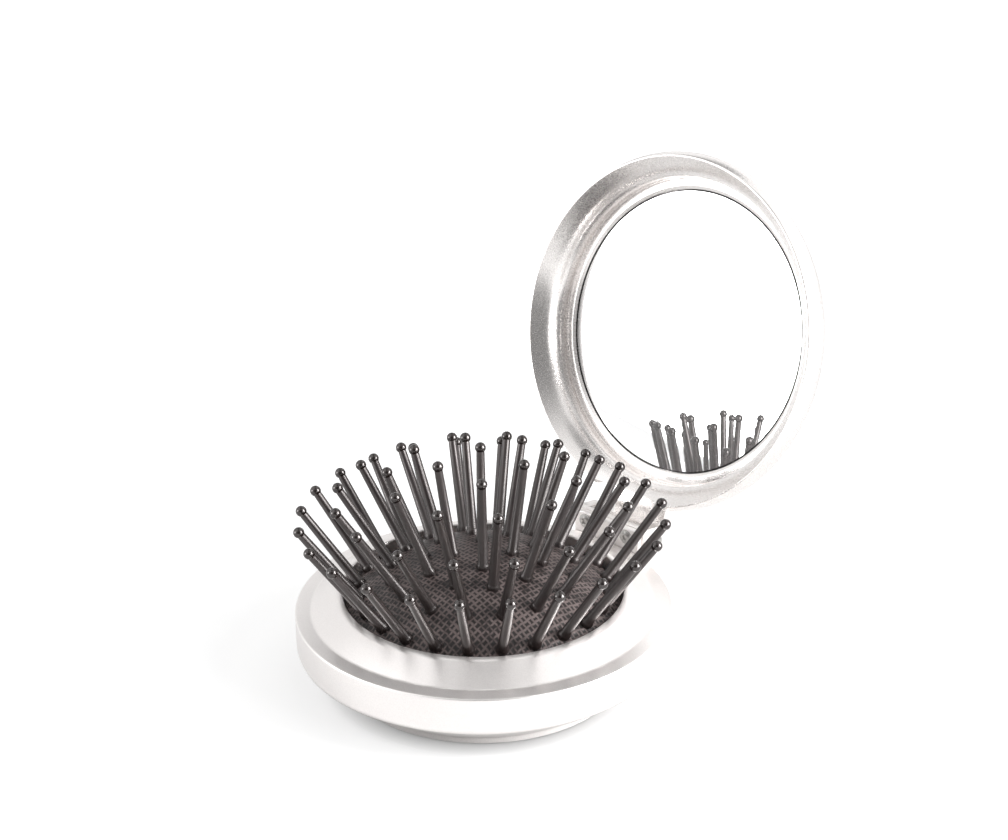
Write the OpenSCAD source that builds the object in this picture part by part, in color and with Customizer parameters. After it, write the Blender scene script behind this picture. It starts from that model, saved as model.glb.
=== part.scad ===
// Round folding hairbrush with a mirror in its lid.
// Z is up, the origin is on the base's axis at its foot, and the lid's hinge is at +Y along X.
// It stands open: the lid is swung back and the bristles are up.

/* [Base] */
// radius of the closed brush
body_r = 34; // [33.9:0.05:34.1]
// height of the ledge that the lid closes on
base_h = 14.2; // [14.1:0.05:14.4]
// height of the straight outer wall below the ledge
wall_h = 7.1; // [6.6:0.1:7.6]
// thickness of the outer wall
wall_t = 1.6; // [1.4:0.1:1.8]
// distance of the foot ring from the outer wall
foot_in = 8.8; // [8.6:0.1:8.9]
// height of the foot ring's straight side
foot_h = 1.2; // [1:0.1:1.4]
// width of the foot ring
foot_w = 1.6; // [1.5:0.05:1.65]

/* [Top ring] */
// thickness of the flat ledge
ledge_t = 1.2; // [1:0.1:1.4]
// width of the flat ledge
ledge_w = 2.9; // [2.7:0.1:3.1]
// width of the cone from the ledge to the crest
crest_w = 4.8; // [4.6:0.1:4.9]
// height of the crest above the ledge
crest_h = 3.2; // [3:0.1:3.4]
// width of the lip inside the crest
lip_w = 1; // [0.9:0.05:1.1]
// thickness of the guide skirt below the lip
skirt_t = 2.2; // [2:0.1:2.4]
// height of the guide skirt's lower end
skirt_z = 4.6; // [4.4:0.1:5]

/* [Push plate] */
// underside of the push plate when the brush is up
plate_z = 10.2; // [10.1:0.1:10.3]
// thickness of the push plate
plate_t = 1; // [0.9:0.1:1.2]
// gap between the push plate and the foot ring
plate_gap = 0.4; // [0.3:0.1:0.6]
// gap between the push plate's rim and the skirt
rim_gap = 0.7; // [0.6:0.05:0.8]
// thickness of the push plate's rim
rim_t = 1.6; // [1.5:0.05:1.65]
// top of the push plate's rim
rim_z = 13; // [12.9:0.1:13.1]

/* [Cushion] */
// top of the dome above the ledge
dome_h = 10.2; // [10.1:0.1:10.3]
// height of the dome's edge above the ledge
edge_h = 0.73; // [0.6:0.01:0.8]
// gap between the dome's edge and the lip
edge_gap = 0.5; // [0.45:0.05:0.6]
// thickness of the rubber
rubber_t = 1; // [0.8:0.1:1.1]
// thickness of the cushion's flange
flange_t = 0.7; // [0.6:0.1:0.8]

/* [Bristles] */
// length from the cushion to the middle of the ball
bristle_l = 17.6; // [17:0.1:17.6]
// radius of the ball
ball_r = 1; // [0.9:0.05:1]
// radius of the shaft at its root
shaft_r1 = 0.95; // [0.8:0.05:0.95]
// radius of the shaft below the ball
shaft_r2 = 0.75; // [0.6:0.05:0.75]
// radius of the root collar
collar_r = 1.2; // [1:0.05:1.25]
// height of the root collar
collar_h = 0.8; // [0.6:0.1:1]
// gap between the cushion and the root collar
root_gap = 0.3; // [0.3:0.05:0.4]

/* [Hinge] */
// distance of the hinge pin from the outer wall
pivot_out = 4.5; // [4.4:0.05:4.6]
// height of the hinge pin above the ledge
pivot_h = 0.8; // [0.7:0.05:0.9]
// angle that the lid is swung back
open_angle = 107; // [106:0.5:108]
// radius of the hinge pin
pin_r = 1; // [0.9:0.05:1.1]
// length of the hinge pin
pin_l = 17.6; // [17.2:0.2:18.2]
// running clearance of the lug on the pin
pin_gap = 0.05; // [0.03:0.01:0.08]
// clearance of the pin in the ears
ear_gap = 0.02; // [0.01:0.01:0.04]
// half the width of the lid's lug
lug_x = 6; // [5.8:0.1:6.1]
// radius of the lug's barrel
barrel_r = 2.2; // [2.1:0.05:2.3]
// inner face of each ear from the middle
ear_x = 6.4; // [6.3:0.05:6.5]
// thickness of each ear
ear_t = 2; // [1.8:0.1:2.2]
// radius of each ear round the pin
ear_r = 2.9; // [2.8:0.05:3]
// thickness of the bracket's plate
bracket_t = 1.2; // [1.1:0.1:1.3]
// how far the upright wall at the hinge stands in from the outer wall
upright_in = 0.7; // [0.6:0.05:0.8]
// thickness of the upright wall
upright_t = 1.3; // [1.2:0.05:1.4]
// height of the upright wall above the ledge
upright_h = 4.2; // [4:0.1:4.2]
// half the width of the upright wall
upright_x = 8; // [7.5:0.1:8.1]
// distance of each screw from the middle
screw_x = 5.1; // [4.8:0.1:5.4]
// height of the screws above the ledge
screw_h = 2.4; // [2.2:0.1:2.5]
// radius of a screw's head
head_r = 1.4; // [1.2:0.05:1.5]
// radius of a screw's shank
shank_r = 0.85; // [0.7:0.05:0.9]
// length of a screw's shank
shank_l = 2.4; // [2.2:0.1:2.45]

/* [Lid] */
// distance of the mirror's face above the ledge when the lid is closed
mirror_h = 7.2; // [7.15:0.05:7.3]
// thickness of the mirror
mirror_t = 1; // [0.8:0.1:1.1]
// distance of the mirror's edge from the lid's outside
mirror_in = 6.95; // [6.9:0.05:7.05]
// gap between the mirror's edge and its seat
seat_gap = 0.15; // [0.1:0.05:0.2]
// how far the bezel stands proud of the mirror's face
bezel_up = 0.4; // [0.35:0.05:0.45]
// thickness of the foam pad behind the mirror
pad_t = 0.3; // [0.2:0.05:0.35]
// how far the foam pad stays inside the mirror's edge
pad_in = 1.6; // [1.4:0.1:2.6]
// how far the lid's outside stands in from the outer wall
lid_step = 0.2; // [0.15:0.05:0.25]
// height of the joint between the lid's two shells above the ledge
part_h = 3; // [2.9:0.05:3.1]
// thickness of the lid's back
back_t = 1.75; // [1.7:0.05:1.85]
// height of the lug above the pin
lug_h = 6.7; // [6.6:0.05:6.8]

/* [Hidden] */
$fn = 96;
foot_r = body_r - foot_in;
well_r = foot_r - foot_w;
crest_r = body_r - ledge_w - crest_w;
lip_r = crest_r - lip_w;
skirt_r = lip_r + skirt_t;
wall_z = base_h - wall_h;
ledge_z = base_h - ledge_t;
wall_in = body_r - wall_t;
cone_run = body_r - 0.7 - foot_r;
cone_rise = wall_z - 0.4 - foot_h;
cone_slope = cone_run / cone_rise;
well_z = 1;
plate_r = well_r - plate_gap;
rim_r = lip_r - rim_gap;
rim_in = rim_r - rim_t;
dome_edge_r = lip_r - edge_gap;
dome_rise = dome_h - edge_h;
dome_r = (dome_edge_r * dome_edge_r + dome_rise * dome_rise) / (2 * dome_rise);
dome_z = base_h + dome_h - dome_r;
groove_z = rim_z + flange_t;
ring_h = 0.9;
ring_out = lip_r - 0.35;
ring_in = ring_out - 1.5;
neck_in = ring_in - 1.05;
key_w = 5;
key_r = ring_out + 1.25;
slot_gap = 0.3;
stop_gap = 0.05;
upright_y = body_r - upright_in;
upright_back = upright_y + upright_t;
pivot_y = body_r + pivot_out;
pivot_z = base_h + pivot_h;
head_h = 0.6;
notch_r = 7.05;
bracket_z = wall_z + 1;
lug_back = [barrel_r + 0.1, 2.7];
lug_top = [0, lug_h];
stop_low = swing(lug_back, open_angle);
stop_high = swing(lug_top, open_angle);
stop_end = stop_low + 0.63 * (stop_high - stop_low);
lid_r = body_r - lid_step;
mirror_r = lid_r - mirror_in;
seat_r = mirror_r + seat_gap;
bezel_h = mirror_h - bezel_up;
pad_r = mirror_r - pad_in;
lid_in = mirror_h + mirror_t + pad_t;
lid_top = lid_in + back_t;
OUTER = 0;
MIDDLE = 1;
INNER = 2;
CENTRE = 3;
RING_ROOT = dome_edge_r * [0.903, 0.669, 0.427, 0.214];
RING_TILT = [35.5, 33, 21, 7.5];
RING_HALF_STEP = [7.5, 11.25, 18, 45];

// a point [y, z] swung about the pin as the lid opens by angle a
function swing(p, a) = [p[0] * cos(a) + p[1] * sin(a), p[1] * cos(a) - p[0] * sin(a)];

// height of the dome's outside at radius r
function dome_at(r) = dome_z + sqrt(dome_r * dome_r - r * r);

// a shape drawn in the YZ plane and centred along X
module slab(half) {
  translate([-half, 0, 0]) rotate([90, 0, 90]) linear_extrude(height = 2 * half) children();
}

// the lid is drawn closed and swung open here
module opened() {
  translate([0, pivot_y, pivot_z]) rotate([-open_angle, 0, 0])
    translate([0, -pivot_y, -pivot_z]) children();
}

// room in the lid for the upright wall and its screws
module hinge_notch() {
  y = upright_y - 0.9;
  half = upright_x + 1.2;
  translate([-half, y, base_h - 1])
    cube([2 * half, pivot_y - barrel_r - 0.2 - y, upright_h + 1.3]);
  // what swings past the upright wall and the screws' heads
  intersection() {
    translate([-half, pivot_y, pivot_z]) rotate([0, 90, 0]) cylinder(r = notch_r, h = 2 * half);
    translate([-half, pivot_y - notch_r - 1, base_h - 1])
      cube([2 * half, notch_r - barrel_r + 0.8, upright_h + 1.3]);
  }
}

// ---------- base ----------

module base_shell() {
  color("silver") difference() {
    union() {
      rotate_extrude() polygon([
        [well_r, 0],
        [foot_r, 0],
        [foot_r, foot_h],
        [body_r - 0.7, wall_z - 0.4],
        [body_r - 0.4, wall_z - 0.1],
        [body_r - 0.1, wall_z + 0.2],
        [body_r, wall_z + 0.6],
        [body_r, ledge_z],
        [wall_in, ledge_z],
        [wall_in, well_z + (wall_in - well_r) / cone_slope],
        [well_r, well_z]
      ]);
      translate([-upright_x, upright_y, wall_z + 0.6])
        cube([2 * upright_x, upright_back - upright_y, base_h + upright_h - wall_z - 0.6]);
    }
    for (s = [-1, 1]) translate([s * screw_x, upright_y - 1, base_h + screw_h])
      rotate([-90, 0, 0]) cylinder(r = shank_r + 0.02, h = 3);
  }
}

module top_ring() {
  color("silver") difference() {
    rotate_extrude() polygon([
      [lip_r, skirt_z],
      [skirt_r, skirt_z],
      [skirt_r, base_h + 0.4],
      [body_r - 4.1, ledge_z],
      [wall_in - 1.5, ledge_z],
      [wall_in - 1.5, ledge_z - 1.8],
      [wall_in - 0.05, ledge_z - 1.8],
      [wall_in - 0.05, ledge_z],
      [body_r, ledge_z],
      [body_r, base_h - 0.3],
      [body_r - 0.1, base_h - 0.1],
      [body_r - 0.3, base_h],
      [body_r - ledge_w, base_h],
      [crest_r + 0.3, base_h + crest_h - 0.2],
      [crest_r, base_h + crest_h],
      [crest_r - 0.3, base_h + crest_h + 0.08],
      [lip_r + 0.3, base_h + crest_h + 0.08],
      [lip_r, base_h + crest_h - 0.1]
    ]);
    // the upright wall passes here
    translate([-upright_x - 0.1, upright_y - 0.1, ledge_z - 3])
      cube([2 * upright_x + 0.2, 5, 8]);
    // slots for the three keys, closed at the top
    for (a = [30, 150, 270]) rotate([0, 0, a])
      translate([lip_r - 1, -key_w / 2 - slot_gap, skirt_z - 1])
        cube([key_r + slot_gap - lip_r + 1, key_w + 2 * slot_gap,
              groove_z + ring_h + stop_gap - skirt_z + 1]);
  }
}

module hinge_bracket() {
  plate_top = base_h + upright_h;
  plate_out = upright_back + bracket_t;
  color("darkgray") difference() {
    union() {
      translate([-ear_x - ear_t, upright_back, bracket_z])
        cube([2 * (ear_x + ear_t), bracket_t, plate_top - bracket_z]);
      for (s = [-1, 1]) translate([s * (ear_x + ear_t / 2), 0, 0]) {
        slab(ear_t / 2) polygon([
          [plate_out - 0.5, bracket_z],
          [pivot_y + ear_r * cos(76), pivot_z - ear_r * sin(76)],
          [pivot_y, pivot_z],
          [pivot_y + ear_r * cos(72), pivot_z + ear_r * sin(72)],
          [plate_out - 0.5, plate_top]
        ]);
        translate([-ear_t / 2, pivot_y, pivot_z]) rotate([0, 90, 0])
          cylinder(r = ear_r, h = ear_t);
      }
      // tongue that stops the open lid
      slab(ear_x + ear_t / 2) polygon([
        [plate_out - 0.5, bracket_z],
        [pivot_y, bracket_z],
        [pivot_y + stop_end[0] - 0.2, pivot_z + stop_end[1] - 1.8],
        [pivot_y + stop_end[0], pivot_z + stop_end[1] - stop_gap],
        [pivot_y + stop_low[0], pivot_z + stop_low[1] - stop_gap],
        [plate_out - 0.5, bracket_z + 1.6]
      ]);
    }
    translate([-20, pivot_y, pivot_z]) rotate([0, 90, 0])
      cylinder(r = pin_r + ear_gap, h = 40);
    for (s = [-1, 1]) translate([s * screw_x, upright_back - 1, base_h + screw_h])
      rotate([-90, 0, 0]) cylinder(r = shank_r + 0.02, h = 3);
  }
}

module hinge_screws() {
  color("dimgray") for (s = [-1, 1]) translate([s * screw_x, upright_y, base_h + screw_h])
    rotate([-90, 0, 0]) rotate_extrude() polygon([
      [0, -head_h],
      [head_r - 0.5, -head_h],
      [head_r - 0.1, -head_h + 0.25],
      [head_r, 0],
      [shank_r, 0],
      [shank_r, shank_l],
      [0, shank_l]
    ]);
}

module hinge_pin() {
  color("dimgray") translate([-pin_l / 2, pivot_y, pivot_z]) rotate([0, 90, 0])
    cylinder(r = pin_r, h = pin_l);
}

// ---------- brush ----------

module push_plate() {
  color("dimgray") rotate_extrude() polygon([
    [0, plate_z],
    [plate_r, plate_z],
    [plate_r, plate_z + 0.7],
    [rim_r, rim_z - 1],
    [rim_r, rim_z],
    [rim_in, rim_z],
    [rim_in, rim_z - 1],
    [rim_in - 0.8, plate_z + plate_t],
    [0, plate_z + plate_t]
  ]);
}

// dome with a flange below and a groove for the retaining ring between them
module cushion() {
  color("darkslategray") rotate_extrude() difference() {
    union() {
      intersection() {
        translate([0, dome_z]) circle(r = dome_r, $fn = 720);
        translate([0, groove_z + ring_h]) square([dome_edge_r, 20]);
      }
      translate([neck_in, rim_z]) square([rim_r - neck_in, flange_t]);
      translate([neck_in, rim_z]) square([ring_in - neck_in, flange_t + ring_h + 1.2]);
    }
    intersection() {
      translate([0, dome_z]) circle(r = dome_r - rubber_t, $fn = 720);
      translate([-1, 0]) square([neck_in + 1, 40]);
    }
    translate([-60, -60]) square([60, 120]);
  }
}

module cushion_ring() {
  color("dimgray") union() {
    rotate_extrude() polygon([
      [ring_in, groove_z],
      [ring_out, groove_z],
      [ring_out, groove_z + ring_h],
      [ring_in, groove_z + ring_h]
    ]);
    for (a = [30, 150, 270]) rotate([0, 0, a])
      translate([ring_out - 0.6, -key_w / 2, groove_z])
        cube([key_r - ring_out + 0.6, key_w, ring_h]);
  }
}

module bristle(ring, a) {
  rotate([0, 0, a]) translate([RING_ROOT[ring], 0, dome_at(RING_ROOT[ring])])
    rotate([0, RING_TILT[ring], 0]) union() {
      translate([0, 0, root_gap]) cylinder(r = collar_r, h = collar_h, $fn = 32);
      translate([0, 0, root_gap])
        cylinder(r1 = shaft_r1, r2 = shaft_r2, h = bristle_l - root_gap, $fn = 32);
      translate([0, 0, bristle_l]) sphere(r = ball_r, $fn = 32);
    }
}

// two neighbouring bristles that fold together, counted from the front
module pair(ring, n) {
  for (s = [-1, 1])
    bristle(ring, -90 + RING_HALF_STEP[ring] * (4 * (n - 1) + s));
}

module outer_bristles_01() { color("gray") pair(OUTER, 1); }
module outer_bristles_02() { color("gray") pair(OUTER, 2); }
module outer_bristles_03() { color("gray") pair(OUTER, 3); }
module outer_bristles_04() { color("gray") pair(OUTER, 4); }
module outer_bristles_05() { color("gray") pair(OUTER, 5); }
module outer_bristles_06() { color("gray") pair(OUTER, 6); }
module outer_bristles_07() { color("gray") pair(OUTER, 7); }
module outer_bristles_08() { color("gray") pair(OUTER, 8); }
module outer_bristles_09() { color("gray") pair(OUTER, 9); }
module outer_bristles_10() { color("gray") pair(OUTER, 10); }
module outer_bristles_11() { color("gray") pair(OUTER, 11); }
module outer_bristles_12() { color("gray") pair(OUTER, 12); }
module middle_bristles_01() { color("gray") pair(MIDDLE, 1); }
module middle_bristles_02() { color("gray") pair(MIDDLE, 2); }
module middle_bristles_03() { color("gray") pair(MIDDLE, 3); }
module middle_bristles_04() { color("gray") pair(MIDDLE, 4); }
module middle_bristles_05() { color("gray") pair(MIDDLE, 5); }
module middle_bristles_06() { color("gray") pair(MIDDLE, 6); }
module middle_bristles_07() { color("gray") pair(MIDDLE, 7); }
module middle_bristles_08() { color("gray") pair(MIDDLE, 8); }
module inner_bristles_01() { color("gray") pair(INNER, 1); }
module inner_bristles_02() { color("gray") pair(INNER, 2); }
module inner_bristles_03() { color("gray") pair(INNER, 3); }
module inner_bristles_04() { color("gray") pair(INNER, 4); }
module inner_bristles_05() { color("gray") pair(INNER, 5); }
module centre_bristles() {
  color("gray") for (k = [0 : 3]) bristle(CENTRE, 45 + 90 * k);
}

// ---------- lid ----------

module lid_shell() {
  color("silver") opened() difference() {
    union() {
      translate([0, 0, base_h]) rotate_extrude() polygon([
        [0, part_h],
        [lid_r - 0.05, part_h],
        [lid_r - 0.2, lid_top - 6.3],
        [lid_r - 0.6, lid_top - 5.4],
        [lid_r - 1.2, lid_top - 4.3],
        [lid_r - 1.95, lid_top - 3.3],
        [lid_r - 2.8, lid_top - 2.4],
        [lid_r - 3.9, lid_top - 1.6],
        [lid_r - 5.2, lid_top - 0.95],
        [lid_r - 6.9, lid_top - 0.45],
        [lid_r - 9.5, lid_top - 0.15],
        [lid_r - 13.8, lid_top],
        [0, lid_top]
      ]);
      // arm over the upright wall, and the barrel on the pin
      translate([0, pivot_y, pivot_z]) slab(lug_x) polygon([
        [0, 0],
        [barrel_r, 0],
        lug_back,
        lug_top,
        [lid_r - 4.3 - pivot_y, lug_h - 0.2],
        [lid_r - 4.3 - pivot_y, upright_h + 0.4 - pivot_h],
        [-barrel_r - 0.1, upright_h + 0.4 - pivot_h],
        [-barrel_r, 0]
      ]);
      translate([-lug_x, pivot_y, pivot_z]) rotate([0, 90, 0])
        cylinder(r = barrel_r, h = 2 * lug_x);
    }
    translate([0, 0, base_h]) rotate_extrude() polygon([
      [0, part_h - 1],
      [lid_r - 1.1, part_h - 1],
      [lid_r - 1.1, part_h + 0.1],
      [lid_r - 1.6, part_h + 1.3],
      [lid_r - 3.18, mirror_h - 1],
      [lid_r - 4.3, mirror_h + 0.47],
      [lid_r - 6, lid_in],
      [0, lid_in]
    ]);
    hinge_notch();
    translate([-20, pivot_y, pivot_z]) rotate([0, 90, 0])
      cylinder(r = pin_r + pin_gap, h = 40);
  }
}

module lid_ring() {
  color("silver") opened() difference() {
    translate([0, 0, base_h]) rotate_extrude() polygon([
      [seat_r, mirror_h + 0.35],
      [seat_r, mirror_h],
      [seat_r + 0.6, bezel_h],
      [lid_r - 4.8, bezel_h],
      [lid_r - 4.65, bezel_h + 0.2],
      [lid_r - 4.5, bezel_h],
      [lid_r - 4.6, 5.9],
      [lid_r - 4.6, 4.7],
      [lid_r - 4.45, 3.95],
      [lid_r - 4.1, 3.2],
      [lid_r - 3.6, 2.4],
      [lid_r - 2.9, 1.65],
      [lid_r - 2.1, 0.95],
      [lid_r - 1.2, 0.2],
      [lid_r - 1, 0.05],
      [lid_r - 0.8, 0.05],
      [lid_r - 0.6, 0.25],
      [lid_r - 0.4, 0.7],
      [lid_r - 0.12, 1.5],
      [lid_r, 2.2],
      [lid_r, part_h - 0.1],
      [lid_r - 0.1, part_h],
      [lid_r - 1.2, part_h],
      [lid_r - 1.75, part_h + 1.2],
      [lid_r - 3.3, mirror_h - 1.05],
      [lid_r - 4.4, mirror_h + 0.35]
    ]);
    hinge_notch();
  }
}

module mirror() {
  color("lightblue") opened() translate([0, 0, base_h + mirror_h])
    cylinder(r = mirror_r, h = mirror_t);
}

module mirror_pad() {
  color("dimgray") opened() translate([0, 0, base_h + mirror_h + mirror_t])
    cylinder(r = pad_r, h = pad_t);
}

base_shell();
top_ring();
push_plate();
cushion();
cushion_ring();
hinge_bracket();
hinge_screws();
hinge_pin();
lid_shell();
lid_ring();
mirror();
mirror_pad();
outer_bristles_01();
outer_bristles_02();
outer_bristles_03();
outer_bristles_04();
outer_bristles_05();
outer_bristles_06();
outer_bristles_07();
outer_bristles_08();
outer_bristles_09();
outer_bristles_10();
outer_bristles_11();
outer_bristles_12();
middle_bristles_01();
middle_bristles_02();
middle_bristles_03();
middle_bristles_04();
middle_bristles_05();
middle_bristles_06();
middle_bristles_07();
middle_bristles_08();
inner_bristles_01();
inner_bristles_02();
inner_bristles_03();
inner_bristles_04();
inner_bristles_05();
centre_bristles();
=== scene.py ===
import math

import bmesh
import bpy
from mathutils import Matrix, Vector


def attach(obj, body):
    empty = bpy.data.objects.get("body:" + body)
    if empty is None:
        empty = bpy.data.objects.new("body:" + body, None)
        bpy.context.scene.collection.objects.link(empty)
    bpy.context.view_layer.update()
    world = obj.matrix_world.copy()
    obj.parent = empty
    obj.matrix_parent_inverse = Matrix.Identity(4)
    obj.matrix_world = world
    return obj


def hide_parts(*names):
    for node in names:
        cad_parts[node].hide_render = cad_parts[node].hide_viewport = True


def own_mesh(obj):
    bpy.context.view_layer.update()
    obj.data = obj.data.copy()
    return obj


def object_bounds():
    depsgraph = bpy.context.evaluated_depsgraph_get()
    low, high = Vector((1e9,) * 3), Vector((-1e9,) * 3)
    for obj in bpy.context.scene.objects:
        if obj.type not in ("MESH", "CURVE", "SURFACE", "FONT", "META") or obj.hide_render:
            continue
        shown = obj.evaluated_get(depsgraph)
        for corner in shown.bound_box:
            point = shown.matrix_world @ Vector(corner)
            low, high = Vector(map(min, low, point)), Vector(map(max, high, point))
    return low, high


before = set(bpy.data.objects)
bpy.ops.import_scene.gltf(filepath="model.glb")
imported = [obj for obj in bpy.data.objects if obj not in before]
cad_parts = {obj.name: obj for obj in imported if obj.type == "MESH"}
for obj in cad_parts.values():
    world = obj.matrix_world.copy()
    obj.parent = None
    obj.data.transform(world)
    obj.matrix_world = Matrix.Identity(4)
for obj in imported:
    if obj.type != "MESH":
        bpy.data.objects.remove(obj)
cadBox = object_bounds()
print("frame loaded")

# sizes are in millimetres until a piece is finished, when they become metres;
# the pivot is the hinge pin, and the lid is shut at 0 and open at openAngle
brush = {
    "ledgeHeight": 14.2,
    "outerRadius": 34.0,
    "pivotY": 38.5,
    "pivotZ": 15.0,
    "openAngle": 107.0,
}


def linear(hexColour):
    # sRGB hex to linear RGBA
    out = []
    for i in (1, 3, 5):
        c = int(hexColour[i:i + 2], 16) / 255
        out.append(c / 12.92 if c <= 0.04045 else ((c + 0.055) / 1.055) ** 2.4)
    return (*out, 1.0)


def addNode(tree, kind, inputs=None, **settings):
    # an input is linked if its value is a socket, and otherwise set
    node = tree.nodes.new(kind)
    for name, value in settings.items():
        setattr(node, name, value)
    for name, value in (inputs or {}).items():
        if isinstance(value, bpy.types.NodeSocket):
            tree.links.new(value, node.inputs[name])
        else:
            node.inputs[name].default_value = value
    return node


def ramp(tree, factor, stops):
    # stops is a list of (place, colour)
    node = addNode(tree, "ShaderNodeValToRGB", {"Fac": factor})
    steps = node.color_ramp.elements
    while len(steps) < len(stops):
        steps.new(0.5)
    for step, (place, colour) in zip(steps, stops):
        step.position = min(place, 1)
        step.color = colour
    return node.outputs["Color"]


def newMaterial(name):
    material = bpy.data.materials.new(name)
    material.use_nodes = True
    tree = material.node_tree
    tree.nodes.clear()
    shader = addNode(tree, "ShaderNodeBsdfPrincipled")
    addNode(tree, "ShaderNodeOutputMaterial", {"Surface": shader.outputs["BSDF"]})
    coords = addNode(tree, "ShaderNodeTexCoord").outputs["Object"]
    return material, tree, shader, coords


def turned(outline, rounds=None, steps=192):
    # a closed outline of (radius, height) points, its corners rounded, spun about the Z axis
    bm = bmesh.new()
    corners = [bm.verts.new((r, 0, z)) for r, z in outline]
    bm.faces.new(corners)
    for width, picked in (rounds or {}).items():
        bmesh.ops.bevel(bm, geom=[corners[i] for i in picked], offset=width, segments=4,
                        profile=0.5, affect="VERTICES", material=-1)
    bmesh.ops.delete(bm, geom=bm.faces[:], context="FACES_ONLY")
    onAxis = [e for e in bm.edges if all(abs(v.co.x) < 1e-6 for v in e.verts)]
    bmesh.ops.delete(bm, geom=onAxis, context="EDGES")
    bmesh.ops.spin(bm, geom=bm.verts[:] + bm.edges[:], cent=(0, 0, 0), axis=(0, 0, 1),
                   angle=2 * math.pi, steps=steps, use_merge=True)
    bmesh.ops.remove_doubles(bm, verts=bm.verts[:], dist=1e-4)
    bmesh.ops.recalc_face_normals(bm, faces=bm.faces[:])
    return bm


def block(low, high, edge=0.0):
    # a box between two corners, with its edges rounded
    bm = bmesh.new()
    bmesh.ops.create_cube(bm, size=1)
    size = Vector(high) - Vector(low)
    bmesh.ops.scale(bm, vec=size, verts=bm.verts[:])
    bmesh.ops.translate(bm, vec=(Vector(low) + Vector(high)) / 2, verts=bm.verts[:])
    if edge:
        bmesh.ops.bevel(bm, geom=bm.edges[:], offset=edge, segments=3, profile=0.5,
                        affect="EDGES", material=-1)
    return bm


def spinAbout(bm, axis, degrees=90):
    bmesh.ops.rotate(bm, verts=bm.verts[:], cent=(0, 0, 0),
                     matrix=Matrix.Rotation(math.radians(degrees), 3, axis))


def rod(radius, length, centre, turnAxis="Y"):
    # an upright cylinder laid down: along X if turned about Y, and the other way round
    bm = bmesh.new()
    bmesh.ops.create_cone(bm, cap_ends=True, segments=64, radius1=radius, radius2=radius, depth=length)
    spinAbout(bm, turnAxis)
    bmesh.ops.translate(bm, vec=centre, verts=bm.verts[:])
    return bm


def asObject(bm, name):
    mesh = bpy.data.meshes.new(name)
    bm.to_mesh(mesh)
    bm.free()
    piece = bpy.data.objects.new(name, mesh)
    bpy.context.scene.collection.objects.link(piece)
    return piece


def settle(piece):
    # applies the modifiers
    graph = bpy.context.evaluated_depsgraph_get()
    done = bpy.data.meshes.new_from_object(piece.evaluated_get(graph))
    old = piece.data
    piece.modifiers.clear()
    piece.data = done
    bpy.data.meshes.remove(old)


def combine(piece, tools):
    # tools is a list of (bmesh, "UNION", "DIFFERENCE" or "INTERSECT")
    helpers = []
    for bm, how in tools:
        helper = asObject(bm, "helper")
        helpers.append(helper)
        change = piece.modifiers.new("combine", "BOOLEAN")
        change.operation = how
        change.object = helper
        change.solver = "EXACT"
    settle(piece)
    for helper in helpers:
        bpy.data.objects.remove(helper)


def openLid(bm):
    # swings a part that was modelled shut about the hinge pin
    bmesh.ops.rotate(bm, verts=bm.verts[:], cent=(0, brush["pivotY"], brush["pivotZ"]),
                     matrix=Matrix.Rotation(-math.radians(brush["openAngle"]), 3, "X"))
    return bm


def openPiece(piece):
    bm = bmesh.new()
    bm.from_mesh(piece.data)
    openLid(bm)
    bm.to_mesh(piece.data)
    bm.free()


sharpFrom = 38  # an edge stays sharp from this many degrees between its faces


def finish(piece, body, materials, node=None):
    # a second material is for the faces that the piece has marked with index 1
    piece.data.transform(Matrix.Scale(0.001, 4))
    marks = [face.material_index for face in piece.data.polygons]
    piece.data.materials.clear()
    for material in materials if isinstance(materials, list) else [materials]:
        piece.data.materials.append(material)
    piece.data.polygons.foreach_set("material_index", marks)
    piece.data.shade_smooth()
    piece.data.set_sharp_from_angle(angle=math.radians(sharpFrom))
    piece.data.update()
    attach(piece, body)
    if node:
        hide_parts(node)
    return piece


def noise(tree, coords, sizeMm, detail=2.0):
    return addNode(tree, "ShaderNodeTexNoise", {
        "Vector": coords, "Scale": 1000 / sizeMm, "Detail": detail}).outputs["Fac"]


def mixed(tree, how, a, b):
    return addNode(tree, "ShaderNodeMath", {0: a, 1: b}, operation=how).outputs[0]


def makeSilverLacquer(name, gloss):
    # ABS sprayed with metallic lacquer: satin silver with a very fine sparkle;
    # the real flakes are about 0.05 mm, drawn coarser so that they show
    look = {"bright": "#f9f5f3", "dull": "#f2eeec", "flakeMm": 0.13, "cloudMm": 14.3}
    material, tree, shader, coords = newMaterial(name)
    flakes = addNode(tree, "ShaderNodeTexVoronoi", {"Vector": coords, "Scale": 1000 / look["flakeMm"]})
    flakeTone = addNode(tree, "ShaderNodeSeparateColor", {"Color": flakes.outputs["Color"]}).outputs["Red"]
    cloud = noise(tree, coords, look["cloudMm"], 3.0)
    colour = ramp(tree, mixed(tree, "MULTIPLY", flakeTone, cloud), [
        (0.0, linear(look["dull"])), (0.5, linear(look["bright"]))])
    rough = addNode(tree, "ShaderNodeMapRange", {
        "Value": flakeTone, "To Min": gloss - 0.03, "To Max": gloss + 0.03}).outputs["Result"]
    bump = addNode(tree, "ShaderNodeBump", {"Height": flakeTone, "Strength": 0.022, "Distance": 0.00001})
    tree.links.new(colour, shader.inputs["Base Color"])
    tree.links.new(rough, shader.inputs["Roughness"])
    tree.links.new(bump.outputs["Normal"], shader.inputs["Normal"])
    shader.inputs["Metallic"].default_value = 0.85
    shader.inputs["Coat Weight"].default_value = 0.1
    shader.inputs["Coat Roughness"].default_value = 0.2
    return material


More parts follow.
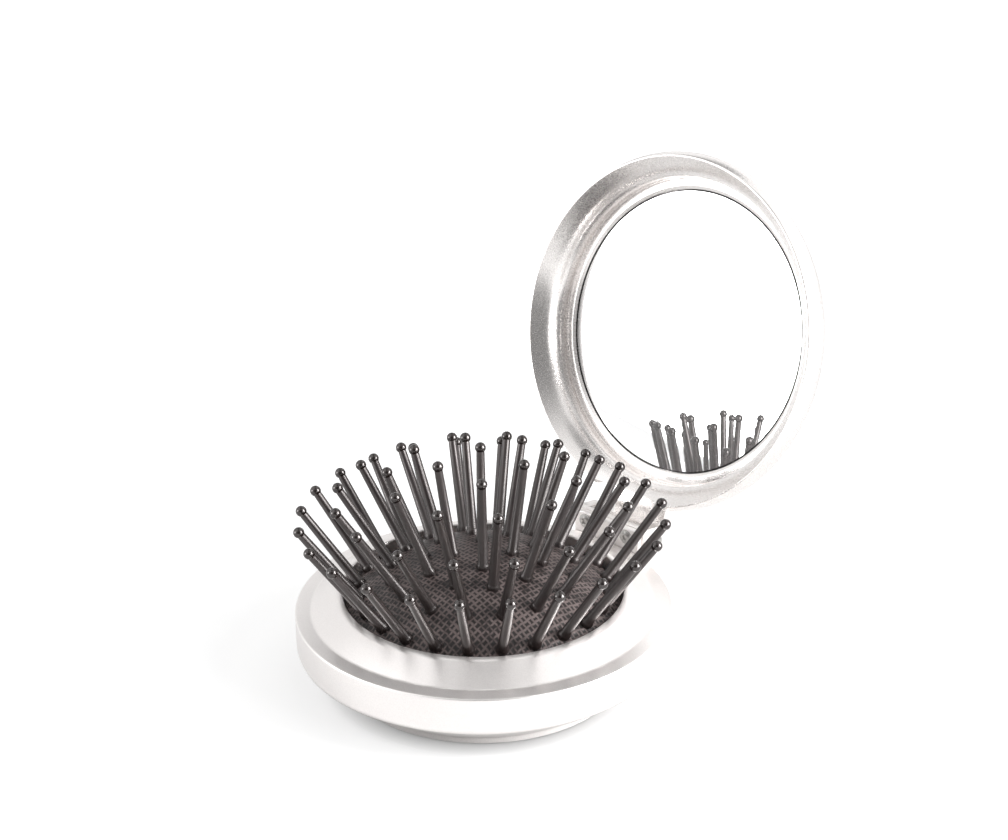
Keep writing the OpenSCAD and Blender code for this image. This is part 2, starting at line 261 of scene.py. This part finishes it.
def makeUndersideShadeGrey():
    # grey for the underside and the inside; on the underside below the wall it is painted shade: even pale
    # grey with a fine spark-eroded grain
    look = {"deep": "#cfcbc9", "pale": "#dbd7d5", "grainMm": 0.2}
    material, tree, shader, coords = newMaterial("undersideGreyPaintedShade")
    grain = noise(tree, coords, look["grainMm"])
    colour = ramp(tree, grain, [(0.3, linear(look["deep"])), (0.7, linear(look["pale"]))])
    bump = addNode(tree, "ShaderNodeBump", {"Height": grain, "Strength": 0.25, "Distance": 0.00002})
    tree.links.new(colour, shader.inputs["Base Color"])
    tree.links.new(bump.outputs["Normal"], shader.inputs["Normal"])
    shader.inputs["Roughness"].default_value = 0.6
    return material


def makeNylon(name, deep, pale, gloss):
    # moulded nylon: brown black, with flow marks that make the gloss slightly uneven
    flowMm = 3.85  # the wave length of the marks
    material, tree, shader, coords = newMaterial(name)
    flow = noise(tree, coords, flowMm)
    colour = ramp(tree, flow, [(0.35, linear(deep)), (0.65, linear(pale))])
    rough = addNode(tree, "ShaderNodeMapRange", {
        "Value": flow, "To Min": gloss - 0.02, "To Max": gloss + 0.03}).outputs["Result"]
    tree.links.new(colour, shader.inputs["Base Color"])
    tree.links.new(rough, shader.inputs["Roughness"])
    shader.inputs["IOR"].default_value = 1.58
    shader.inputs["Specular IOR Level"].default_value = 0.8
    shader.inputs["Specular Tint"].default_value = (1, 0.94, 0.93, 1)
    return material


def makeWovenRubber():
    # rubber faced with cloth: thin pale threads cross over and under each other, dark between them
    look = {"gap": "#16100f", "shade": "#332a29", "thread": "#6a5e5c", "pitchMm": 1.0, "unevenMm": 2.63}
    material, tree, shader, coords = newMaterial("clothFacedRubber")
    pitch = look["pitchMm"] * 0.001
    placed = addNode(tree, "ShaderNodeMapping", {"Vector": coords, "Rotation": (0, 0, math.radians(4))})

    def bands(way, period, wander):
        return addNode(tree, "ShaderNodeTexWave", {
            "Vector": placed.outputs["Vector"], "Scale": 2 * math.pi / (20 * period),
            "Distortion": wander, "Detail": 1.0, "Detail Scale": 0.2}, bands_direction=way).outputs["Fac"]

    along, across = bands("X", pitch, 0.5), bands("Y", pitch, 0.5)
    over = [mixed(tree, "SUBTRACT", bands(way, 2 * pitch, 0.0), 0.5) for way in "XY"]
    # which thread lies on top
    lift = mixed(tree, "MULTIPLY", mixed(tree, "MULTIPLY", over[0], over[1]), 1.6)
    height = mixed(tree, "MAXIMUM", mixed(tree, "ADD", along, lift), mixed(tree, "SUBTRACT", across, lift))
    uneven = noise(tree, coords, look["unevenMm"], 4.0)
    wear = mixed(tree, "ADD", mixed(tree, "MULTIPLY", uneven, 1.5), 0.25)
    worn = mixed(tree, "MULTIPLY", height, wear)
    colour = ramp(tree, worn, [(0.5, linear(look["gap"])), (0.7, linear(look["shade"])),
                               (1.0, linear(look["thread"]))])
    bump = addNode(tree, "ShaderNodeBump", {"Height": height, "Strength": 0.6, "Distance": 0.00012})
    tree.links.new(colour, shader.inputs["Base Color"])
    tree.links.new(bump.outputs["Normal"], shader.inputs["Normal"])
    shader.inputs["Roughness"].default_value = 0.5
    return material


def makeBlackPlastic():
    # spark-eroded polypropylene: matt black with a fine pebble grain
    look = {"deep": "#1b1918", "pale": "#2a2726", "grainMm": 0.25}
    material, tree, shader, coords = newMaterial("grainedPolypropylene")
    grain = noise(tree, coords, look["grainMm"])
    colour = ramp(tree, grain, [(0.3, linear(look["deep"])), (0.7, linear(look["pale"]))])
    bump = addNode(tree, "ShaderNodeBump", {"Height": grain, "Strength": 0.3, "Distance": 0.00003})
    tree.links.new(colour, shader.inputs["Base Color"])
    tree.links.new(bump.outputs["Normal"], shader.inputs["Normal"])
    shader.inputs["Roughness"].default_value = 0.55
    return material


def makeSteel():
    # turned steel: tool marks that make its tone and gloss slightly uneven
    look = {"dark": "#a3a19f", "pale": "#cfcdca", "markMm": 0.4}
    material, tree, shader, coords = newMaterial("turnedSteel")
    marks = noise(tree, coords, look["markMm"])
    colour = ramp(tree, marks, [(0.3, linear(look["dark"])), (0.7, linear(look["pale"]))])
    rough = addNode(tree, "ShaderNodeMapRange", {
        "Value": marks, "To Min": 0.22, "To Max": 0.4}).outputs["Result"]
    tree.links.new(colour, shader.inputs["Base Color"])
    tree.links.new(rough, shader.inputs["Roughness"])
    shader.inputs["Metallic"].default_value = 1.0
    return material


def makeMirror():
    # silvered glass: a clear image with a few faint smears; the share that isn't metal is a thin
    # haze of dust
    look = {"clear": "#fdfdfd", "smeared": "#f8f8f8", "smearMm": 11.1}
    material, tree, shader, coords = newMaterial("silveredGlass")
    smear = noise(tree, coords, look["smearMm"], 5.0)
    rough = addNode(tree, "ShaderNodeMapRange", {
        "Value": smear, "From Min": 0.5, "From Max": 0.8, "To Min": 0.0, "To Max": 0.05}).outputs["Result"]
    colour = ramp(tree, smear, [(0.4, linear(look["clear"])), (0.8, linear(look["smeared"]))])
    tree.links.new(colour, shader.inputs["Base Color"])
    tree.links.new(rough, shader.inputs["Roughness"])
    shader.inputs["Metallic"].default_value = 0.84
    return material


def makeEdgeGapShade():
    # black on the ground edge of the glass, painted shade for the gap under the bezel: dark with a little
    # gloss and small chips
    # the black named lacquer here is painted shade
    look = {"lacquer": "#1a1817", "chip": "#6e6a68", "chipMm": 0.625}
    material, tree, shader, coords = newMaterial("blackEdgePaintedShade")
    chips = noise(tree, coords, look["chipMm"])
    colour = ramp(tree, chips, [(0.66, linear(look["lacquer"])), (0.72, linear(look["chip"]))])
    tree.links.new(colour, shader.inputs["Base Color"])
    shader.inputs["Roughness"].default_value = 0.4
    return material


def makeFoam():
    # closed-cell foam tape: matt dark grey with small cells
    look = {"cell": "#2c2a29", "skin": "#474443", "cellMm": 0.4}
    material, tree, shader, coords = newMaterial("closedCellFoam")
    cells = addNode(tree, "ShaderNodeTexVoronoi", {
        "Vector": coords, "Scale": 1000 / look["cellMm"]}).outputs["Distance"]
    colour = ramp(tree, cells, [(0.1, linear(look["cell"])), (0.6, linear(look["skin"]))])
    tree.links.new(colour, shader.inputs["Base Color"])
    shader.inputs["Roughness"].default_value = 0.9
    return material


# the base is sprayed a little rougher than the lid (the number is the roughness)
silver = makeSilverLacquer("silverLacquerOnBase", 0.33)
lidSilver = makeSilverLacquer("silverLacquerOnLid", 0.26)
# the shafts are satin from the mould, and the balls were melted smooth
shaftNylon = makeNylon("mouldedNylon", "#1a1413", "#251d1c", 0.34)
ballNylon = makeNylon("polishedNylon", "#16110f", "#1e1716", 0.08)
rubber = makeWovenRubber()
blackPlastic = makeBlackPlastic()
steel = makeSteel()
mirrorGlass = makeMirror()
# the mirror's black edge is painted shade
edgeGapShade = makeEdgeGapShade()
# the underside's grey is painted shade under the base's wall
undersideShadeGrey = makeUndersideShadeGrey()
foam = makeFoam()
print("materials made")


# the base: shell, top ring, screws, pin and bracket
base = {"footRadius": 25.2, "footHeight": 1.2, "wellRadius": 23.6, "wallBottom": 7.1, "wallTop": 13.0,
        "wall": 1.6, "uprightHalf": 8.0, "uprightFront": 33.3, "uprightBack": 34.6, "uprightTop": 18.4}
screws = {"apart": 5.1, "height": 16.6, "head": 1.4, "thick": 0.6, "socket": 0.55, "shank": 0.85,
          "hole": 0.87, "length": 2.4}


def makeBaseShell(d):
    outer = brush["outerRadius"]
    body = turned([
        (d["wellRadius"], 0),
        (d["footRadius"], 0),
        (d["footRadius"], d["footHeight"]),
        (outer - 0.7, d["wallBottom"] - 0.4),
        (outer, d["wallBottom"] + 0.3),
        (outer, d["wallTop"]),
        (outer - d["wall"], d["wallTop"]),
        (outer - d["wall"], d["wallBottom"] + 0.7),
        (d["wellRadius"], 1.0),
    ], {0.15: (0, 1), 0.5: (2,), 0.6: (3, 4)})
    piece = asObject(body, "baseShell")
    upright = block((-d["uprightHalf"], d["uprightFront"], d["wallBottom"] + 0.6),
                    (d["uprightHalf"], d["uprightBack"], d["uprightTop"]), 0.35)
    holes = [(rod(screws["hole"], 6, (side * screws["apart"], outer, screws["height"]), "X"), "DIFFERENCE")
             for side in (-1, 1)]
    combine(piece, [(upright, "UNION")] + holes)
    # the wall keeps the silver; the underside and the inside get the second material, whose grey paints the
    # shade under the wall
    inner = outer - d["wall"]
    for face in piece.data.polygons:
        reach = math.hypot(face.center.x, face.center.y)
        slope = d["wellRadius"] + (inner - d["wellRadius"]) * (face.center.z - 1) / (d["wallBottom"] - 0.3)
        inside = face.center.z < d["wallTop"] + 0.2 and reach < min(slope, inner) + 0.3
        face.material_index = int(inside or face.center.z < d["wallBottom"] - 0.1)
    return finish(piece, "base", [silver, undersideShadeGrey], "base_shell")


makeBaseShell(base)

topRing = {"ledgeInner": 31.1, "crest": 26.3, "crestRise": 3.2, "lip": 25.3,
           "skirt": 27.5, "skirtBottom": 4.6, "ledgeThick": 1.2, "ledgeFall": 0.2,
           "rib": 1.8, "ribInner": 30.9, "ribOuter": 32.35,
           "slots": (30, 150, 270), "slotHalf": 2.8, "slotReach": 26.5, "slotTop": 14.65,
           "hingeGap": ((-8.1, 33.2, 10), (8.1, 38, 18))}


def makeTopRing(d):
    outer, z = brush["outerRadius"], brush["ledgeHeight"]
    bottom = z - d["ledgeThick"]
    body = turned([
        (d["lip"], d["skirtBottom"]),
        (d["skirt"], d["skirtBottom"]),
        (d["skirt"], z + 0.4),
        (outer - 4.1, bottom),
        (d["ribInner"], bottom),
        (d["ribInner"], bottom - d["rib"]),
        (d["ribOuter"], bottom - d["rib"]),
        (d["ribOuter"], bottom),
        (outer, bottom),
        (outer, z - d["ledgeFall"]),
        (d["ledgeInner"], z),
        (d["crest"] + 0.15, z + d["crestRise"]),
        (d["lip"], z + d["crestRise"] + 0.05),
    ], {0.3: (9, 12), 0.35: (10,), 0.6: (11,)})
    piece = asObject(body, "topRing")
    tools = [(block(*d["hingeGap"]), "DIFFERENCE")]
    for turn in d["slots"]:  # the cushion ring's keys slide in these
        slot = block((d["lip"] - 1, -d["slotHalf"], d["skirtBottom"] - 1),
                     (d["slotReach"], d["slotHalf"], d["slotTop"]))
        spinAbout(slot, "Z", turn)
        tools.append((slot, "DIFFERENCE"))
    combine(piece, tools)
    return finish(piece, "base", silver, "top_ring")


makeTopRing(topRing)


def makeScrews(d):
    whole = bmesh.new()
    for side in (-1, 1):
        bm = turned([
            (0, -d["length"]),
            (d["shank"], -d["length"]),
            (d["shank"], 0),
            (d["head"], 0),
            (d["head"], 0.3),
            (d["head"] - 0.55, d["thick"]),
            (d["socket"], d["thick"]),
            (d["socket"] - 0.15, 0.25),
            (0, 0.25),
        ], {0.12: (4, 5, 6)}, steps=40)
        spinAbout(bm, "X")
        bmesh.ops.translate(bm, verts=bm.verts[:],
                            vec=(side * d["apart"], base["uprightFront"], d["height"]))
        mesh = bpy.data.meshes.new("part")
        bm.to_mesh(mesh)
        bm.free()
        whole.from_mesh(mesh)
        bpy.data.meshes.remove(mesh)
    return finish(asObject(whole, "hingeScrews"), "base", steel, "hinge_screws")


makeScrews(screws)

pin = {"radius": 1.0, "length": 17.6}


def makePin(d):
    half = d["length"] / 2
    bm = turned([(0, -half), (d["radius"], -half), (d["radius"], half), (0, half)], {0.2: (1, 2)}, steps=48)
    spinAbout(bm, "Y")
    bmesh.ops.translate(bm, verts=bm.verts[:], vec=(0, brush["pivotY"], brush["pivotZ"]))
    return finish(asObject(bm, "hingePin"), "base", steel, "hinge_pin")


makePin(pin)


def softenedCopy(node, name, body, material, edge):
    # a copy of a CAD solid with its edges broken
    bm = bmesh.new()
    bm.from_mesh(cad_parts[node].data)
    bmesh.ops.remove_doubles(bm, verts=bm.verts[:], dist=1e-6)
    bmesh.ops.dissolve_limit(bm, angle_limit=math.radians(1), verts=bm.verts[:], edges=bm.edges[:])
    bmesh.ops.scale(bm, vec=(1000, 1000, 1000), verts=bm.verts[:])
    bmesh.ops.recalc_face_normals(bm, faces=bm.faces[:])
    piece = asObject(bm, name)
    change = piece.modifiers.new("edges", "BEVEL")
    change.width = edge
    change.segments = 2
    change.limit_method = "ANGLE"
    change.angle_limit = math.radians(35)
    settle(piece)
    return finish(piece, body, material, node)


softenedCopy("hinge_bracket", "hingeBracket", "base", silver, 0.15)
print("base made")


# the brush: push plate, cushion and bristles
plate = {"bottom": 10.2, "thick": 1.0, "radius": 23.2, "rim": 24.6, "rimInner": 23.0, "rimTop": 13.0,
         "ridges": (6.0, 9.0, 12.0, 15.0)}


def makePushPlate(d):
    # shallow finger ridges are turned in its underside
    z = d["bottom"]
    outline = [(0, z + 0.15)]
    for r in d["ridges"]:
        outline += [(r - 0.6, z + 0.15), (r - 0.35, z), (r + 0.35, z), (r + 0.6, z + 0.15)]
    outline += [
        (d["radius"] - 1.2, z + 0.15),
        (d["radius"] - 0.9, z),
        (d["radius"], z),
        (d["radius"], z + 0.7),
        (d["rim"], d["rimTop"] - 1),
        (d["rim"], d["rimTop"]),
        (d["rimInner"], d["rimTop"]),
        (d["rimInner"], d["rimTop"] - 1),
        (d["rimInner"] - 0.8, z + d["thick"]),
        (0, z + d["thick"]),
    ]
    return finish(asObject(turned(outline, steps=144), "pushPlate"), "brush_plate", blackPlastic,
                  "push_plate")


makePushPlate(plate)

# the cushion is a ball's cap with a neck and a flange under its edge
dome = {"edge": 24.8, "rise": 9.47, "top": 24.4, "neckIn": 22.4, "neckOut": 23.45, "neckHeight": 0.9,
        "flange": 24.6, "flangeLow": 13.0, "flangeHigh": 13.7, "thick": 1.0}
dome["radius"] = (dome["edge"] ** 2 + dome["rise"] ** 2) / (2 * dome["rise"])
dome["centre"] = dome["top"] - dome["radius"]


def domeHeight(r, inset=0.0):
    return dome["centre"] + math.sqrt((dome["radius"] - inset) ** 2 - r * r)


def makeCushion(d):
    outside = [(d["edge"] * k / 40, domeHeight(d["edge"] * k / 40)) for k in range(40, -1, -1)]
    inside = [(d["neckIn"] * k / 24, domeHeight(d["neckIn"] * k / 24, d["thick"])) for k in range(25)]
    outline = outside + inside + [
        (d["neckIn"], d["flangeLow"]),
        (d["flange"], d["flangeLow"]),
        (d["flange"], d["flangeHigh"]),
        (d["neckOut"], d["flangeHigh"]),
        (d["neckOut"], d["flangeHigh"] + d["neckHeight"]),
        (d["edge"], d["flangeHigh"] + d["neckHeight"]),
    ]
    piece = finish(asObject(turned(outline, {0.12: (0, len(outline) - 1)}, steps=160), "cushionDome"),
                   "brush_plate", rubber, "cushion")
    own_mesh(piece)


makeCushion(dome)

# a root is a share of the cushion's edge, a tilt is in degrees from upright, and half is half
# the angle between the two bristles of a pair
bristle = {
    "length": 17.6, "ball": 1.0, "root": 0.95, "neck": 0.75, "collar": 1.2, "collarHeight": 0.85,
    "rings": {
        "outer": {"root": 0.903, "tilt": 35.5, "half": 7.5, "pairs": 12},
        "middle": {"root": 0.669, "tilt": 33.0, "half": 11.25, "pairs": 8},
        "inner": {"root": 0.427, "tilt": 21.0, "half": 18.0, "pairs": 5},
    },
    "centre": {"root": 0.214, "tilt": 7.5},
}


def makeBristleMesh(d):
    shaft = turned([
        (0, -0.15),
        (d["collar"], -0.15),
        (d["collar"], d["collarHeight"]),
        (d["root"], d["collarHeight"] + 0.25),
        (d["neck"], d["length"] - 1.1),
        (d["neck"] - 0.05, d["length"] - 0.2),
        (0, d["length"]),
    ], {0.45: (2,)}, steps=24)
    ball = bmesh.ops.create_uvsphere(shaft, u_segments=24, v_segments=16, radius=d["ball"],
                                     matrix=Matrix.Translation((0, 0, d["length"])))
    for face in {f for vert in ball["verts"] for f in vert.link_faces}:
        face.material_index = 1
    mesh = bpy.data.meshes.new("bristle")
    shaft.to_mesh(mesh)
    shaft.free()
    return mesh


bristleMesh = makeBristleMesh(bristle)


def placeBristles(name, body, node, root, tilt, turns):
    # one piece of several bristles that turn together
    whole = bmesh.new()
    r = dome["edge"] * root
    for turn in turns:
        before = len(whole.verts)
        whole.from_mesh(bristleMesh)
        whole.verts.ensure_lookup_table()
        place = (Matrix.Rotation(math.radians(turn), 4, "Z") @ Matrix.Translation((r, 0, domeHeight(r)))
                 @ Matrix.Rotation(math.radians(tilt), 4, "Y"))
        bmesh.ops.transform(whole, matrix=place, verts=whole.verts[before:])
    finish(asObject(whole, name), body, [shaftNylon, ballNylon], node)


for ringName, ring in bristle["rings"].items():
    for n in range(ring["pairs"]):
        node = f"{ringName}_bristles_{n + 1:02d}"
        turns = [-90 + ring["half"] * (4 * n + s) for s in (-1, 1)]
        placeBristles(f"{ringName}Bristles{n + 1:02d}", node + "_pair", node, ring["root"],
                      ring["tilt"], turns)
placeBristles("centreBristles", "centre_bristles_group", "centre_bristles", bristle["centre"]["root"],
              bristle["centre"]["tilt"], [45 + 90 * k for k in range(4)])
print("brush made")


# the lid is modelled shut and then swung open; its heights are counted from the ledge
lid = {"radius": 33.8, "mirrorRadius": 26.85, "mirrorHeight": 7.2, "mirrorThick": 1.0, "seat": 27.0,
       "bezel": 6.8, "part": 3.0, "top": 10.25, "inside": 8.5, "lugHalf": 6.0, "barrel": 2.2,
       "pinHole": 1.05, "notch": 7.05, "notchHalf": 9.2, "notchFront": 32.4, "notchBack": 36.1,
       "notchHigh": 4.5}


def hingeNotch(d):
    # room for the upright wall and the screws' heads as the lid swings
    y, half = brush["pivotY"], d["notchHalf"]
    low, high = brush["ledgeHeight"] - 1, brush["ledgeHeight"] + d["notchHigh"]
    slab = block((-half, d["notchFront"], low), (half, d["notchBack"], high))
    arc = asObject(rod(d["notch"], 2 * half, (0, y, brush["pivotZ"])), "arc")
    keepLow = block((-half - 0.8, y - d["notch"] - 1, low), (half + 0.8, y - d["barrel"] - 0.2, high))
    combine(arc, [(keepLow, "INTERSECT")])
    bm = bmesh.new()
    bm.from_mesh(arc.data)
    bpy.data.objects.remove(arc)
    return [(slab, "DIFFERENCE"), (bm, "DIFFERENCE")]


def makeLidRing(d):
    z, h, r, b, s = brush["ledgeHeight"], d["mirrorHeight"], d["radius"], d["bezel"], d["seat"]
    outline = [
        (s, h + 0.35),
        (s, h - 0.05),
        (s + 0.6, b),
        (r - 4.85, b),
        (r - 4.7, b + 0.2),
        (r - 4.6, b + 0.2),
        (r - 4.45, b - 0.1),
        (r - 4.6, 5.9),
        (r - 4.6, 4.7),
        (r - 4.45, 3.95),
        (r - 4.1, 3.2),
        (r - 3.6, 2.4),
        (r - 2.9, 1.65),
        (r - 2.1, 0.95),
        (r - 1.2, 0.2),
        (r - 1.0, 0.05),
        (r - 0.8, 0.05),
        (r - 0.6, 0.25),
        (r - 0.4, 0.7),
        (r - 0.12, 1.5),
        (r, 2.2),
        (r, d["part"]),
        (r - 1.2, d["part"]),
        (r - 1.75, d["part"] + 1.2),
        (r - 3.3, h - 1.05),
        (r - 4.4, h + 0.35),
    ]
    body = turned([(x, y + z) for x, y in outline],
                  {0.1: (2, 3, 14), 0.04: (4, 5), 0.22: (6,), 0.35: (7, 8, 9, 10, 11, 12, 13),
                   0.08: (15, 16), 0.15: (17,), 0.25: (18,), 0.3: (19, 20)}, steps=224)
    piece = asObject(body, "lidRing")
    combine(piece, hingeNotch(d))
    openPiece(piece)
    return finish(piece, "lid", lidSilver, "lid_ring")


def makeLidShell(d):
    z, r, top, h = brush["ledgeHeight"], d["radius"], d["top"], d["mirrorHeight"]
    outline = [
        (0, d["part"]),
        (r - 0.05, d["part"]),
        (r - 0.2, top - 6.3),
        (r - 0.6, top - 5.4),
        (r - 1.2, top - 4.3),
        (r - 1.95, top - 3.3),
        (r - 2.8, top - 2.4),
        (r - 3.9, top - 1.6),
        (r - 5.2, top - 0.95),
        (r - 6.9, top - 0.45),
        (r - 9.5, top - 0.15),
        (r - 13.8, top),
        (0, top),
    ]
    body = turned([(x, y + z) for x, y in outline],
                  {0.08: (1,), 0.3: (2,), 0.42: (3, 4, 5, 6, 7, 8), 0.8: (9,), 1.2: (10, 11)}, steps=224)
    piece = asObject(body, "lidShell")
    cavity = turned([(x, y + z) for x, y in [
        (0, d["part"] - 1),
        (r - 1.1, d["part"] - 1),
        (r - 1.1, d["part"] + 0.1),
        (r - 1.6, d["part"] + 1.3),
        (r - 3.18, h - 1.0),
        (r - 4.3, h + 0.47),
        (r - 6.0, d["inside"]),
        (0, d["inside"]),
    ]], steps=224)
    # arm over the upright wall, then the barrel
    y, pz = brush["pivotY"], brush["pivotZ"]
    arm = bmesh.new()
    side = [arm.verts.new((-d["lugHalf"], y + a, pz + b)) for a, b in [
        (0, 0), (2.2, 0), (2.3, 2.7), (0, 6.7), (-9, 6.5), (-9, 3.8), (-2.3, 3.8), (-2.2, 0)]]
    face = arm.faces.new(side)
    grown = bmesh.ops.extrude_face_region(arm, geom=[face])
    bmesh.ops.translate(arm, verts=[v for v in grown["geom"] if isinstance(v, bmesh.types.BMVert)],
                        vec=(2 * d["lugHalf"], 0, 0))
    bmesh.ops.recalc_face_normals(arm, faces=arm.faces[:])
    combine(piece, [
        (arm, "UNION"),
        (rod(d["barrel"], 2 * d["lugHalf"], (0, y, pz)), "UNION"),
        (cavity, "DIFFERENCE"),
        (rod(d["pinHole"], 40, (0, y, pz)), "DIFFERENCE"),
    ] + hingeNotch(d))
    openPiece(piece)
    return finish(piece, "lid", lidSilver, "lid_shell")


def makeMirrorDisc(d):
    z, r = brush["ledgeHeight"] + d["mirrorHeight"], d["mirrorRadius"]
    back = z + d["mirrorThick"]
    body = turned([(0, z), (r - 0.2, z), (r, z + 0.15), (r, back), (0, back)], {0.04: (1, 2)}, steps=224)
    for face in body.faces:  # the rim is black, painted shade in the gap under the bezel
        face.material_index = int(face.calc_center_median().xy.length > r - 0.25)
    return finish(asObject(openLid(body), "mirrorDisc"), "lid", [mirrorGlass, edgeGapShade],
                  "mirror")


makeLidRing(lid)
makeLidShell(lid)
makeMirrorDisc(lid)
print("lid made")


# CAD solids that keep their shape and get a better material
kept = {"cushion_ring": blackPlastic, "mirror_pad": foam}
for node, material in kept.items():
    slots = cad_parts[node].data.materials
    for i in range(len(slots)):
        slots[i] = material
print("materials given to the CAD solids")


# stage, light and camera, in metres
studio = {
    "floorSize": 12.0, "paper": "#bdbdbd", "contact": "#7c7c7c", "contactFrom": 0.022, "contactTo": 0.03,
    # the tent's strength for soft light and in gloss; the paper's share in gloss at the middle and
    # from so many metres behind it
    "fill": 0.54, "gloss": 1.06, "floorGloss": (0.76, 0.15), "behind": 0.15,
    # how much the paper glows at each distance from the middle; the glow is held low close under the base,
    # as painted shadow
    "glow": [(0.023, 0.1), (0.03, 0.62), (0.045, 0.7), (0.12, 0.72), (0.4, 1.1)],
    # dim and bright parts of the white tent: direction, where it is full and where it ends in degrees, tone
    "tones": [((0.66, -0.6, 0.42), 14, 52, 0.15), ((-0.49, 0.49, 0.74), 12, 19, 0.15),
              ((0.05, -0.05, 1.0), 9, 20, 0.25), ((-0.93, 0.1, 0.35), 10, 40, 0.88),
              ((-0.4, -0.55, 0.73), 10, 35, 1.4)],
    # place, target, size and watts
    "lamps": {
        "keyRight": ((0.74, 0.36, 0.33), (0, 0, 0.03), (0.4, 0.7), 15.0),
        "stripRight": ((0.84, -0.02, 0.2), (0, 0, 0.05), (0.1, 0.5), 2.6),
        "softboxLeft": ((-0.42, -0.56, 0.16), (0, 0, 0.03), (0.3, 0.3), 1.8),
    },
}


def makeFloor(d):
    bm = bmesh.new()
    bmesh.ops.create_grid(bm, x_segments=2, y_segments=2, size=d["floorSize"] / 2)
    floor = asObject(bm, "floor")
    material, tree, shader, coords = newMaterial("paperSweep")
    reach = addNode(tree, "ShaderNodeVectorMath", {0: coords}, operation="LENGTH").outputs["Value"]
    # the paper is drawn darker close under the base, where its own shadow is too thin
    contact = addNode(tree, "ShaderNodeMapRange", {
        "Value": reach, "From Min": d["contactFrom"], "From Max": d["contactTo"]}).outputs["Result"]
    tree.links.new(ramp(tree, contact, [(0.0, linear(d["contact"])), (1.0, linear(d["paper"]))]),
                   shader.inputs["Base Color"])
    shader.inputs["Roughness"].default_value = 0.9
    shader.inputs["Specular IOR Level"].default_value = 0.0
    # seen by the camera, in gloss and through glass, the paper is lit up to white further out
    rays = addNode(tree, "ShaderNodeLightPath").outputs
    depth = addNode(tree, "ShaderNodeSeparateXYZ", {"Vector": coords}).outputs["Y"]
    share = addNode(tree, "ShaderNodeMapRange", {
        "Value": depth, "From Min": 0.0, "From Max": d["behind"],
        "To Min": d["floorGloss"][0], "To Max": d["floorGloss"][1]}).outputs["Result"]
    shine = mixed(tree, "MULTIPLY", rays["Is Glossy Ray"], share)
    seen = mixed(tree, "MAXIMUM", mixed(tree, "MAXIMUM", rays["Is Camera Ray"], shine),
                 rays["Is Transmission Ray"])
    far = d["glow"][-1][0]
    glow = ramp(tree, mixed(tree, "DIVIDE", reach, far),
                [(place / far, (level, level, level, 1)) for place, level in d["glow"]])
    shader.inputs["Emission Color"].default_value = (1, 1, 1, 1)
    tree.links.new(mixed(tree, "MULTIPLY", seen, glow), shader.inputs["Emission Strength"])
    floor.data.materials.append(material)
    floor.location.z = cadBox[0][2] - 0.0002


makeFloor(studio)


def makeWorld(d):
    world = bpy.data.worlds.new("studio")
    bpy.context.scene.world = world
    world.use_nodes = True
    tree = world.node_tree
    tree.nodes.clear()
    # a white tent with a dim opening for the camera, a grey back wall, a gap overhead and a bright
    # panel at the front left; the camera itself sees plain white
    way = addNode(tree, "ShaderNodeTexCoord").outputs["Generated"]
    tone = None
    for direction, near, far, level in d["tones"]:
        facing = addNode(tree, "ShaderNodeVectorMath", {0: way, 1: Vector(direction).normalized()},
                         operation="DOT_PRODUCT").outputs["Value"]
        part = addNode(tree, "ShaderNodeMapRange", {
            "Value": facing, "To Min": 1.0, "To Max": level,
            "From Min": math.cos(math.radians(far)), "From Max": math.cos(math.radians(near)),
        }, interpolation_type="SMOOTHSTEP").outputs["Result"]
        tone = part if tone is None else mixed(tree, "MULTIPLY", tone, part)
    rays = addNode(tree, "ShaderNodeLightPath")
    strength = addNode(tree, "ShaderNodeMapRange", {
        "Value": rays.outputs["Is Glossy Ray"],
        "To Min": d["fill"], "To Max": d["gloss"]}).outputs["Result"]
    lit = addNode(tree, "ShaderNodeBackground", {"Color": tone, "Strength": strength})
    white = addNode(tree, "ShaderNodeBackground", {"Color": (1, 1, 1, 1), "Strength": 1.0})
    pick = addNode(tree, "ShaderNodeMixShader", {0: rays.outputs["Is Camera Ray"], 1: lit.outputs[0],
                                                 2: white.outputs[0]})
    addNode(tree, "ShaderNodeOutputWorld", {"Surface": pick.outputs[0]})


makeWorld(studio)


def addLamp(name, place, target, size, watts):
    # an area lamp that faces its target
    data = bpy.data.lights.new(name, "AREA")
    data.shape = "RECTANGLE"
    data.size, data.size_y = size
    data.energy = watts
    lamp = bpy.data.objects.new(name, data)
    lamp.location = place
    lamp.rotation_euler = (Vector(target) - Vector(place)).to_track_quat("-Z", "Y").to_euler()
    bpy.context.scene.collection.objects.link(lamp)


for lampName, setup in studio["lamps"].items():
    addLamp(lampName, *setup)

# the camera circles the base's middle at ledge height: angles in degrees, distances in millimetres;
# it aims at a point so far across and up, and its focal length is in pixels
camera = {"turn": 44.53, "lift": 28.44, "distance": 450.0, "aim": (4.16, 36.03), "roll": 0.8,
          "focal": 2484.7, "imageWidth": 1008}


def makeCamera(d):
    lift, turn, roll = (math.radians(d[k]) for k in ("lift", "turn", "roll"))
    place = Vector((0, -d["distance"] * math.cos(lift), d["distance"] * math.sin(lift)))
    forward = (Vector((d["aim"][0], 0, d["aim"][1])) - place).normalized()
    right = forward.cross(Vector((0, 0, 1))).normalized()
    up = right.cross(forward)
    right, up = (right * math.cos(roll) - up * math.sin(roll), right * math.sin(roll) + up * math.cos(roll))
    axes = Matrix((right, up, -forward)).transposed().to_4x4()
    axes.translation = (place + Vector((0, 0, brush["ledgeHeight"]))) * 0.001
    data = bpy.data.cameras.new("camera")
    data.sensor_width = 36
    data.lens = d["focal"] * data.sensor_width / d["imageWidth"]
    data.clip_start = 0.01
    view = bpy.data.objects.new("camera", data)
    view.matrix_world = Matrix.Rotation(turn, 4, "Z") @ axes
    bpy.context.scene.collection.objects.link(view)
    bpy.context.scene.camera = view


makeCamera(camera)
bpy.context.scene.view_settings.view_transform = "Standard"

print("scene ready")
